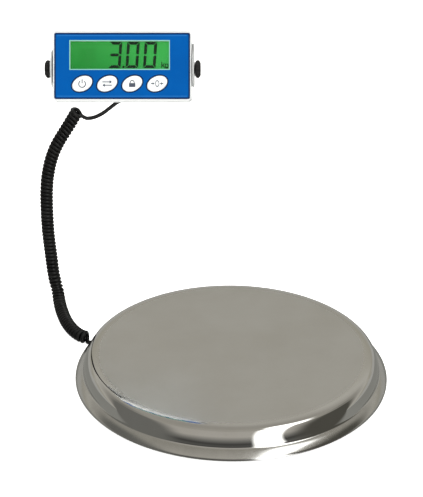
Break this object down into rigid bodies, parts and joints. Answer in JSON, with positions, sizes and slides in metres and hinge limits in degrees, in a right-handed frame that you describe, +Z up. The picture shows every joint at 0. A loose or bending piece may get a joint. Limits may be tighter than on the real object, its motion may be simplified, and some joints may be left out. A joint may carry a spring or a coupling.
{
  "type": "animal weighing scale",
  "caption": "Round stainless veterinary scale for small animals, with a lift-off pan and a tilting digital indicator in a wall bracket, joined by a curly cord.",
  "frame": {"origin": "centre of the round platform, on the plane of its rubber feet", "axes": "+Z up from the table, -Y towards the person who reads the display, +X to that person's right; the wall bracket stands behind the platform towards +Y"},
  "size_m": [0.3684, 0.375, 0.3193],
  "materials": {
    "polished_steel": "polished stainless steel",
    "plate_steel": "plain pressed steel",
    "screw_steel": "bright",
    "bracket_steel": "dark satin",
    "cell_aluminium": "machined",
    "white_sealant": "soft",
    "black_rubber": "matt",
    "circuit_board": "solder resist",
    "brass": "turned",
    "green_plastic": "moulded",
    "grey_cable": "satin",
    "black_cord": "satin",
    "black_plastic": "moulded",
    "white_housing": "moulded",
    "blue_face": "printed film",
    "mint_print": "printed line",
    "clear_window": "clear",
    "green_display": "lit liquid crystal",
    "dark_figures": "dark",
    "light_guide": "clear",
    "display_holder": "moulded",
    "black_chips": "moulded",
    "white_key": "moulded",
    "nylon": "moulded",
    "battery_can": "printed sleeve",
    "contact_metal": "plated"
  },
  "bodies": {
    "base": {"base_plate": "plate_steel", "rubber_feet": "black_rubber", "foot_screws": "screw_steel", "load_cell": "cell_aluminium", "cell_sealant": "white_sealant", "cell_spacers": "plate_steel", "cell_bolts": "screw_steel", "load_spider": "plate_steel", "spider_pads": "black_rubber", "overload_stops": "screw_steel", "junction_board": "circuit_board", "board_standoffs": "brass", "terminal_block": "green_plastic", "cell_cable": "grey_cable", "inner_cord": "black_cord", "base_cord_grip": "black_plastic", "wall_bracket": "bracket_steel", "cord_lead": "black_cord", "cord_coil": "black_cord", "cord_tail": "black_cord"},
    "pan": {"weighing_pan": "polished_steel", "pan_collar": "plate_steel"},
    "indicator": {"front_housing": "white_housing", "rear_housing": "white_housing", "face_plate": "blue_face", "window_border": "mint_print", "display_window": "clear_window", "display_glass": "green_display", "display_digits": "dark_figures", "display_backlight": "light_guide", "display_frame": "display_holder", "main_board": "circuit_board", "board_parts": "black_chips", "sounder": "black_chips", "key_switches": "black_chips", "side_inserts": "brass", "side_washers": "nylon", "housing_screws": "screw_steel", "battery_tray": "black_chips", "battery_cells": "battery_can", "battery_contacts": "contact_metal", "indicator_cord_gland": "black_plastic"},
    "power_key": {"key_power": "white_key"},
    "unit_key": {"key_unit": "white_key"},
    "hold_key": {"key_hold": "white_key"},
    "tare_key": {"key_tare": "white_key"},
    "battery_door": {"battery_cover": "white_housing"},
    "left_knob": {"knob_left": "black_plastic", "knob_stud_left": "screw_steel"},
    "right_knob": {"knob_right": "black_plastic", "knob_stud_right": "screw_steel"}
  },
  "joints": [
    {"name": "pan_lift", "type": "slide", "parent": "base", "child": "pan", "axis": [0, 0, 1], "range_m": [0, 0.04]},
    {"name": "tilt", "type": "hinge", "parent": "base", "child": "indicator", "pos_m": [-0.113, 0.159, 0.2785], "axis": [1, 0, 0], "range_deg": [-34, 60], "deforming": ["cord_lead", "cord_coil"]},
    {"name": "power_press", "type": "slide", "parent": "indicator", "child": "power_key", "axis": [0, 0.8988, -0.4384], "range_m": [0, 0.0008], "stiffness_N_per_m": 250, "springref_m": -0.001},
    {"name": "unit_press", "type": "slide", "parent": "indicator", "child": "unit_key", "axis": [0, 0.8988, -0.4384], "range_m": [0, 0.0008], "stiffness_N_per_m": 250, "springref_m": -0.001},
    {"name": "hold_press", "type": "slide", "parent": "indicator", "child": "hold_key", "axis": [0, 0.8988, -0.4384], "range_m": [0, 0.0008], "stiffness_N_per_m": 250, "springref_m": -0.001},
    {"name": "tare_press", "type": "slide", "parent": "indicator", "child": "tare_key", "axis": [0, 0.8988, -0.4384], "range_m": [0, 0.0008], "stiffness_N_per_m": 250, "springref_m": -0.001},
    {"name": "battery_door_pull", "type": "slide", "parent": "indicator", "child": "battery_door", "axis": [0, 0.8988, -0.4384], "range_m": [0, 0.02]},
    {"name": "left_knob_turn", "type": "hinge", "parent": "indicator", "child": "left_knob", "pos_m": [-0.1913, 0.159, 0.2785], "axis": [-1, 0, 0], "range_deg": [0, 360]},
    {"name": "right_knob_turn", "type": "hinge", "parent": "indicator", "child": "right_knob", "pos_m": [-0.0347, 0.159, 0.2785], "axis": [1, 0, 0], "range_deg": [0, 360]}
  ]
}
